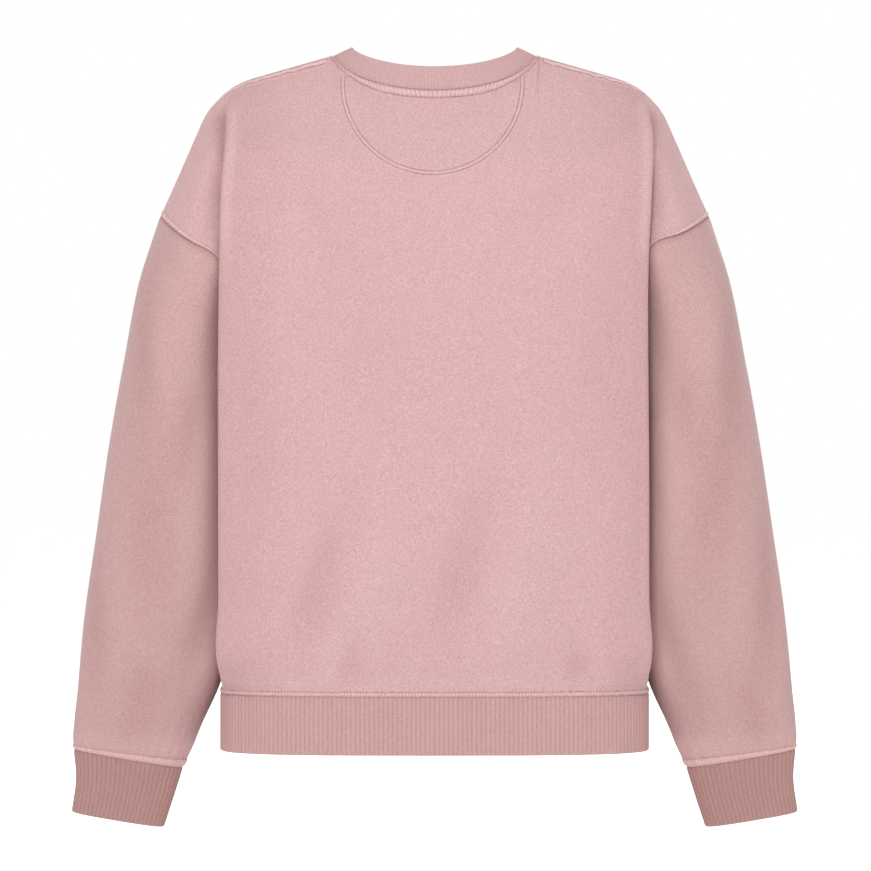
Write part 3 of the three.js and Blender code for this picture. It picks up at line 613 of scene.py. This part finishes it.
# Fleece has a soft speckled face, a little deeper in colour on the sleeves. Rib knit is finer and smoother.
# The thread took the same dye.
BODY_FLEECE = dyed_cotton("Pigment-washed fleece body", "b39191", "d8b8b7", "89625f", 1.7, 0.4, 0.1)
SLEEVE_FLEECE = dyed_cotton("Pigment-washed fleece sleeves", "ab8a88", "cba8a6", "845b57", 1.7, 0.4, 0.1)
RIB = dyed_cotton("Pigment-washed hem rib", "ab8886", "c49f9c", "785350", 1.2, 0.25, 0.05)
CUFF_RIB = dyed_cotton("Pigment-washed cuff rib", "997672", "b18c87", "6a4641", 1.2, 0.25, 0.05)
COLLAR_RIB = dyed_cotton("Pigment-washed collar rib", "ae8d8c", "caadac", "826059", 1.2, 0.25, 0.05)
THREAD = dyed_cotton("Dyed cotton thread", "a98785", "cca9a7", "876059", 0.3, 0.05, 0.05)


# Pieces


HALF_ACROSS = spaced([(0, 4.4), (70, 2.2), (NECK + 4, 4.2), (190, 1.6), (224, 4.2), (308, 0.9), (EDGE, 1)])
ACROSS = np.concatenate([-HALF_ACROSS[:0:-1], HALF_ACROSS])
UPS = spaced([(0, 0.9), (12, 4.3), (546, 2), (566, 0.9), (TOP, 1)])
SLEEVE_COLUMNS = 224
SLEEVE_SHARES = np.arange(SLEEVE_COLUMNS) * 2 / SLEEVE_COLUMNS
SLEEVE_ALONG = spaced([(0, 0.9), (10, 5), (505, 1.2), (CUFF_SEAM, 1)])[::-1]
NAMES = {1: "left", -1: "right"}


def drawn_in(distance, depth, reach):
    """How far the stitching draws cloth in, at a distance from its seam."""
    return -depth * np.exp(-distance / reach)


def panel_folds(face, across, up):
    relief = np.zeros(np.broadcast(across, up).shape)
    for where, height, slant, width, reach, depth in PANEL_FOLDS[face]:
        aside = (across - where - slant * (up - height)) / width
        rise = np.where(up > height, (up - height) / reach, (up - height) / (reach * 0.5 + 8))
        relief -= depth * bell(aside) * bell(rise)
    # They fade out before the fold beside the arm and at the hem seam
    beside_arm = 1 - smoothstep(np.abs(across), YOKE + 25, RIM)
    return relief * beside_arm * smoothstep(up, -6, 26) * smoothstep(up, 0, 6)


def panel_cloth(face, across, up):
    """Grid of a panel's cloth, directions out of it and the height of its soft folds."""
    grid = panel_surface(face, across, up)
    out = facing(grid) * (-1 if face == "back" else 1)
    a, u = across[None], up[:, None]
    relief = panel_folds(face, a, u)
    to_hem, to_top, to_edge = u, TOP - u, EDGE - np.abs(a)
    pull = drawn_in(to_hem, 0.5, 1.2) + drawn_in(to_top, 0.5, 1.5) + drawn_in(to_edge, 0.5, 1.2)
    full = 0.7 * bell((to_hem - 13) / 6)  # it stands up a little just above the band
    drag = 4.6 * smoothstep(to_top, 5, 12) * np.exp(-to_top / 15)  # small folds under the neck's strip
    puckers = uneven(across, 12, 3)[None] * np.exp(-to_hem / 12) + uneven(across, 13, 5)[None] * drag
    # A crease that runs down from the shoulder where the arm hangs, with a ridge on its inner side
    ridge, trough = bell((np.abs(a) - FOLD + 3) / 5), bell((np.abs(a) - TUCK - 3) / 6)
    crease = bell((u - 490) / 52) * (2.2 * ridge - 4.5 * trough)
    return grid + out * (relief + crease + pull + full + 0.35 * puckers)[..., None], out, relief


def make_panel(face):
    grid, _, relief = panel_cloth(face, ACROSS, UPS)
    a, u = np.abs(ACROSS)[None], UPS[:, None]
    # Painted shade at the seams, in the valley beside the arm, in the folds and towards the sides, and a
    # painted highlight where the cloth stands up just above the band
    painted_light_and_tone = -0.2 * np.exp(-u / 1.0) - 0.25 * np.exp((u - TOP) / 1.2) + 0.06 * bell((u - 10) / 8)
    valley = bell((a - VALLEY + 4) / 16) * smoothstep(u, 0, 60) * (1 - smoothstep(u, 500, 570))
    # Painted shade in the valley and the folds, and darker towards the sides where the back rounds away
    painted_light_and_tone = painted_light_and_tone - 0.12 * valley + 0.035 * relief - 0.14 * smoothstep(a, 130, RIM) * (a < FOLD)
    # Beside the drop shoulder's crease, a painted highlight on the ridge and painted shadow behind it
    drop = smoothstep(u, 390, 450) * (1 - smoothstep(u, 540, 562))
    ridge = 0.2 * bell((a - FOLD + 6) / 5)
    behind = 0.75 * smoothstep(a, FOLD - 1, FOLD + 4) * bell((a - FOLD) / 20)
    painted_light_and_tone = painted_light_and_tone + drop * (ridge - behind)
    order = slice(None, None, -1) if face == "back" else slice(None)
    piece = cloth(f"{face}_panel_cloth", grid[:, order], BODY_FLEECE, painted_light_and_tone[:, order], FLEECE)
    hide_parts(f"{face}_panel")
    return piece


def sleeve_cloth(side, along, share):
    """Grid of a sleeve's cloth, directions out of it and the height of its soft folds. along goes up the
    sleeve, from the cuff."""
    grid = sleeve_surface(side, along, share)
    out = facing(grid, closed=True) * side
    s, d = share[None], along[:, None]
    to_cuff = CUFF_SEAM - d
    relief = np.zeros(grid.shape[:2])
    for where, height, twist, width, reach, depth in SLEEVE_FOLDS[side]:
        off = (s - where - twist * (d - height) + 1) % 2 - 1
        relief -= depth * bell(off * SLEEVE_ROUND / width) * bell((d - height) / reach)
    relief *= smoothstep(d, 0, 10) * smoothstep(to_cuff, 0, 12)
    gather = uneven(s * SLEEVE_ROUND, 24, 11) * 0.8 * np.exp(-to_cuff / 18) * smoothstep(to_cuff, 0, 5)
    pull = drawn_in(d, 0.8, 1.8) + drawn_in(to_cuff, 0.9, 1.4)
    full = 0.8 * bell((to_cuff - 13) / 7)
    return grid + out * (relief + gather + pull + full)[..., None], out, relief


def make_sleeve(side):
    grid, _, relief = sleeve_cloth(side, SLEEVE_ALONG, SLEEVE_SHARES)
    d, s = SLEEVE_ALONG[:, None], SLEEVE_SHARES[None]
    to_cuff = CUFF_SEAM - d
    # Painted shade at both seams and in the folds, a painted highlight where the cloth blouses above the
    # cuff, and painted light on the inner side beside the body, lifting its shade
    painted_light_and_tone = -0.8 * np.exp(-d / 1.6) - 0.4 * np.exp(-to_cuff / 1.2)
    painted_light_and_tone = painted_light_and_tone + 0.14 * bell((to_cuff - 11) / 7) + 0.08 * relief
    # Painted light on the sleeve's inner side, where it lies in shade beside the body
    for inner in (0.83, 1.17):
        painted_fill_light = bell((s - inner) / 0.16) * smoothstep(d, 8, 60) * (1 - smoothstep(d, 410, 500))
        painted_light_and_tone = painted_light_and_tone + painted_fill_light
    name = NAMES[side]
    grid, painted_light_and_tone = grid[:, ::side], painted_light_and_tone[:, ::side]
    piece = cloth(f"sleeve_{name}_cloth", grid, SLEEVE_FLEECE, painted_light_and_tone, FLEECE, closed=True)
    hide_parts(f"sleeve_{name}")
    return piece


RIB_FULLNESS = 0.7  # below 1 the ribs are fuller and their grooves narrower
RIB_UNEVEN = 0.22
# Height over which a band's folded edge turns in, and how far it does
ROLL = 1.8
ROLL_DEPTH = 1.3


def rib_profile(columns, ribs, seed):
    """Height of rounded ribs with narrow grooves, each a little uneven."""
    at = np.arange(columns) * ribs / columns
    phase = at % 1
    ridge = np.abs(np.sin(math.pi * phase)) ** RIB_FULLNESS
    rng = np.random.default_rng(seed)
    own = 1 + RIB_UNEVEN * (rng.random(ribs + 1) - 0.5)
    return ridge * own[at.astype(int)]


def ribbed(name, grid, ribs, height, groove_shade, material, node, seed, free_row, relief=0.0):
    """A tube of rib knit. free_row is the row of its folded free edge: 0 or -1."""
    out = facing(grid, closed=True)
    ridge = rib_profile(grid.shape[1], ribs, seed)[None]
    lengths = np.linalg.norm(np.diff(grid, axis=0), axis=-1).mean(axis=1)
    run = np.concatenate([[0], np.cumsum(lengths)])
    from_edge = run[:, None] if free_row == 0 else (run[-1] - run)[:, None]
    from_seam = run[-1] - from_edge
    t = np.clip(1 - from_edge / ROLL, 0, 1)
    roll = -ROLL_DEPTH * (1 - np.sqrt(np.clip(1 - t * t, 0, 1)))
    strength = smoothstep(from_edge, -0.5, 2.5) * 0.75 + 0.25
    raised = height * (ridge - 0.4) * strength + roll + drawn_in(from_seam, 0.8, 1.3) + relief
    grid = grid + out * raised[..., None]
    # Painted shade in the grooves between the ribs and at the seam, a painted highlight on the rib tops,
    # and paler along the folded edge
    painted_light_and_tone = -groove_shade * (1 - ridge) + 0.06 * ridge - 0.15 * np.exp(-from_seam / 1.5) + 0.25 * t
    piece = cloth(name, grid, material, painted_light_and_tone * np.ones(grid.shape[:2]), RIB_CLOTH, closed=True)
    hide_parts(node)
    return piece


def even_turn(place, count, steps):
    """Points once round, evenly spaced along the line, without repeating the first."""
    line = turn(place, steps)
    run = lengths_along(line)
    return points_at(run[-1] * np.arange(count) / count, run, line)


def make_hem():
    count = HEM_RIBS * STEPS_A_RIB
    heights = spaced([(HEM_Z, 0.6), (HEM_Z + 3, 5), (HEM_SEAM_Z - 5, 0.8), (HEM_SEAM_Z + TUCKED, 1)])
    line = even_turn(lambda face, at: hem_point(face, at, 0), count, np.linspace(0, EDGE, 700))
    level = (heights[:, None] - HEM_Z) / (HEM_SEAM_Z - HEM_Z)
    grid = line[None] + np.array([0, 0, 1]) * heights[:, None, None]
    ripple = 0.5 * uneven(np.arange(count) * HEM_ROUND / count, 70, 21)[None] * (1 - level)
    return ribbed("hem_band_rib", grid, HEM_RIBS, 0.6, 0.22, RIB, "hem_band", 31, 0, ripple)


def make_collar():
    count = COLLAR_RIBS * STEPS_A_RIB
    levels = spaced([(0, 0.05), (0.1, 0.1), (0.86, 0.02), (1, 1)])
    angles = np.linspace(0, math.pi / 2, 500)
    rows = [even_turn(lambda face, at, v=level: neck_edge(face, at, v), count, angles) for level in levels]
    return ribbed("collar_rib", np.stack(rows), COLLAR_RIBS, 0.3, 0.1, COLLAR_RIB, "collar", 41, -1)


def make_cuff(side):
    count = CUFF_RIBS * STEPS_A_RIB
    along = spaced([(CUFF_TOP - TUCKED, 0.8), (CUFF_TOP + 5, 5), (CUFF_END - 3, 0.6), (CUFF_END, 1)])[::-1]
    fine = np.arange(1200) / 600
    around = cuff_surface(side, np.array([(CUFF_TOP + CUFF_END) / 2]), fine)[0]
    run = lengths_along(np.vstack([around, around[:1]]))
    share = np.interp(run[-1] * np.arange(count) / count, run, np.append(fine, 2.0))
    grid = cuff_surface(side, along, share)
    fade = smoothstep(along, CUFF_TOP, 560)[:, None]
    ripple = 0.4 * uneven(share * CUFF_ROUND / 2, 60, 51)[None] * fade
    if side < 0:
        grid, ripple = grid[:, ::-1], ripple[:, ::-1]
    node = f"cuff_{NAMES[side]}"
    return ribbed(f"{node}_rib", grid, CUFF_RIBS, 0.6, 0.22, CUFF_RIB, node, 61, 0, ripple)


def hem_seams():
    insets = every(0.45, 0, 6.4)
    across = every(0.8, 0.4 - EDGE, EDGE - 0.4)
    bands = []
    for face in ("back", "front"):
        grid, out, _ = panel_cloth(face, across, insets)
        bands.append(strip(f"hem_seam_{face}", grid, out, insets, HEM_STRIP, BODY_FLEECE, 71))
    return bands


def neck_seams():
    insets = every(0.5, 0, 10.2)
    across = every(0.55, -NECK, NECK)
    bands = []
    for face in ("back", "front"):
        grid, out, _ = panel_cloth(face, across, TOP - insets[::-1])
        grid, out = grid[::-1], out[::-1]
        name = f"neck_seam_{face}"
        bands.append(strip(name, grid, out, insets, NECK_STRIP, BODY_FLEECE, 81, NECK_STITCH, taper=6))
    return bands


def shoulder_seams():
    """Twin rows of stitches that hold the shoulder seam's edges down on the back panel."""
    insets = every(0.35, 5, 16)
    bands = []
    for side, name in NAMES.items():
        across = np.sort(side * every(0.9, NECK + 5, EDGE - 0.5))
        grid, out, _ = panel_cloth("back", across, TOP - insets[::-1])
        grid, out = grid[::-1], out[::-1]
        bands.append(strip(f"shoulder_seam_{name}", grid, out, insets, SHOULDER_STRIP, BODY_FLEECE, 91))
        lines = [grid[np.argmin(np.abs(insets - at))] for at in SHOULDER_ROWS]
        rows = [(line + THREAD_RISE * out[0], out[0]) for line in lines]
        bands.append(stitches(f"shoulder_stitches_{name}", rows, THREAD))
    return bands


def armhole_seams():
    insets = every(0.45, 0, 6.4)
    up = every(0.8, UNDERARM, TOP)
    bands = []
    for side, end in NAMES.items():
        for face in ("back", "front"):
            across = np.sort(side * (EDGE - insets))
            grid, out, _ = panel_cloth(face, across, up)
            grid, out = grid[:, ::-side].swapaxes(0, 1), out[:, ::-side].swapaxes(0, 1)
            name = f"armhole_seam_{end}_{face}"
            bands.append(strip(name, grid, out, insets, ARMHOLE_STRIP, BODY_FLEECE, 101))
    return bands


def cuff_seams():
    insets = every(0.45, 0, 6.6)
    share = np.arange(400) / 200
    bands = []
    for side, end in NAMES.items():
        grid, out, _ = sleeve_cloth(side, CUFF_SEAM - insets, share)
        name = f"cuff_seam_{end}"
        bands.append(strip(name, grid, out, insets, CUFF_STRIP, SLEEVE_FLEECE, 111, closed=True))
    return bands


def surface_of(piece):
    """Function that gives the points of the back panel at places seen from behind, and directions out."""
    corners = [vertex.co for vertex in piece.data.vertices]
    tree = BVHTree.FromPolygons(corners, [face.vertices for face in piece.data.polygons])
    forwards = Vector((0, -1, 0))

    def places(x, z):
        hits = [tree.ray_cast(Vector((a * MM, 1, b * MM)), forwards) for a, b in zip(x.flat, z.flat)]
        on = np.array([hit[0] for hit in hits]) / MM
        out = np.array([hit[1] for hit in hits])
        return on.reshape(*x.shape, 3), out.reshape(*x.shape, 3)

    return places


def half_moon(on_back):
    """Twin rows of stitches that hold the half-moon facing, with the cloth raised between them."""
    insets = every(0.3, -5.1, 5.1)
    angle = every(0.0085, -HALF_MOON_TURN, HALF_MOON_TURN)
    bent = np.clip(angle, -math.pi / 2, math.pi / 2)
    wide, deep = HALF_MOON_WIDE + insets[:, None], HALF_MOON_DEEP + insets[:, None]
    straight = HALF_MOON_DEEP * np.abs(angle - bent)
    grid, out = on_back(HALF_MOON_X + wide * np.sin(bent), HALF_MOON_Z - deep * np.cos(bent) + straight)
    raised = strip("half_moon_seam", grid, out, insets, TWIN_STRIP, BODY_FLEECE, 121)
    lines = [grid[np.argmin(np.abs(insets - at))] for at in (-TWIN_GAP / 2, TWIN_GAP / 2)]
    sewn = stitches("half_moon_stitches", [(line + THREAD_RISE * out[0], out[0]) for line in lines], THREAD)
    return [raised, sewn]


def make_facing(on_back):
    """Half-moon of fleece inside the back neck."""
    angle, level = every(0.045, -1.57, 1.57)[None], every(0.04, 0, 1)[:, None]
    x = (HALF_MOON_WIDE - 1) * np.sin(angle) + 0 * level
    low = HALF_MOON_Z - (HALF_MOON_DEEP + 3) * np.cos(angle)
    neck = -NECK_EDGES[0]["back_drop"] * np.sqrt(1 - (x / NECK_HALF_WIDTH) ** 2) ** NECK_CURVE
    grid, out = on_back(x, low + (neck - 6 - low) * level)
    inside = (grid - FACING_IN * out)[:, ::-1]
    piece = cloth("half_moon_facing_cloth", inside, BODY_FLEECE, np.full(x.shape, -0.1), FACING_WALL)
    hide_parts("half_moon_facing")
    return piece


# Floor, light and camera, in metres

FLOOR_REACH = 30
FLOOR_Z = -0.86
LAMPS = [("Key", (0.35, 4.0, 1.5), 94), ("Front key", (-0.9, -3.8, 1.6), 84)]
LAMP_SIZE = 1.0
LAMP_AIM = (0, 0, -0.35)
SENSOR = 36
CAMERA_DISTANCE = 4.0
FRAME_WIDTH = 0.845  # width at the garment's middle that fills the photo's frame
CAMERA_X = -0.0008
CAMERA_Z = -0.367


def make_floor():
    pale = bpy.data.materials.new("Plain pale floor")
    pale.use_nodes = True
    shader = pale.node_tree.nodes["Principled BSDF"]
    shader.inputs["Base Color"].default_value = linear("ffffff")
    shader.inputs["Roughness"].default_value = 0.9
    mesh = bpy.data.meshes.new("Floor")
    corners = [(x * FLOOR_REACH, y * FLOOR_REACH, FLOOR_Z) for x, y in ((-1, -1), (1, -1), (1, 1), (-1, 1))]
    mesh.from_pydata(corners, [], [(0, 1, 2, 3)])
    mesh.materials.append(pale)
    floor = bpy.data.objects.new("Floor", mesh)
    bpy.context.scene.collection.objects.link(floor)


def make_light():
    world = bpy.data.worlds.new("Studio")
    bpy.context.scene.world = world
    world.use_nodes = True
    background = world.node_tree.nodes["Background"]
    background.inputs["Color"].default_value = (1, 1, 1, 1)
    background.inputs["Strength"].default_value = 1.0
    for name, place, power in LAMPS:
        light = bpy.data.lights.new(name, "AREA")
        light.size = LAMP_SIZE
        light.energy = power
        lamp = bpy.data.objects.new(name, light)
        lamp.location = place
        aim = np.array(LAMP_AIM) - np.array(place)
        lamp.rotation_euler = Vector(aim).to_track_quat("-Z", "Y").to_euler()
        bpy.context.scene.collection.objects.link(lamp)


def make_camera():
    """Straight behind the garment, as the photo is."""
    lens = bpy.data.cameras.new("Camera")
    lens.sensor_width = SENSOR
    lens.lens = SENSOR * CAMERA_DISTANCE / FRAME_WIDTH
    lens.clip_end = 100
    eye = bpy.data.objects.new("Camera", lens)
    eye.location = (CAMERA_X, CAMERA_DISTANCE, CAMERA_Z)
    eye.rotation_euler = (math.radians(90), 0, math.radians(180))
    bpy.context.scene.collection.objects.link(eye)
    bpy.context.scene.camera = eye
    bpy.context.scene.view_settings.view_transform = "Standard"


# The whole garment

back, front = make_panel("back"), make_panel("front")
sleeves = {side: make_sleeve(side) for side in NAMES}
hem, collar = make_hem(), make_collar()
cuffs = {side: make_cuff(side) for side in NAMES}
on_body = [*hem_seams(), *neck_seams(), *shoulder_seams(), *armhole_seams()]
on_sleeves = cuff_seams()
on_back = surface_of(back)
on_body += half_moon(on_back)
half_moon_facing = make_facing(on_back)

make_floor()
make_light()
make_camera()
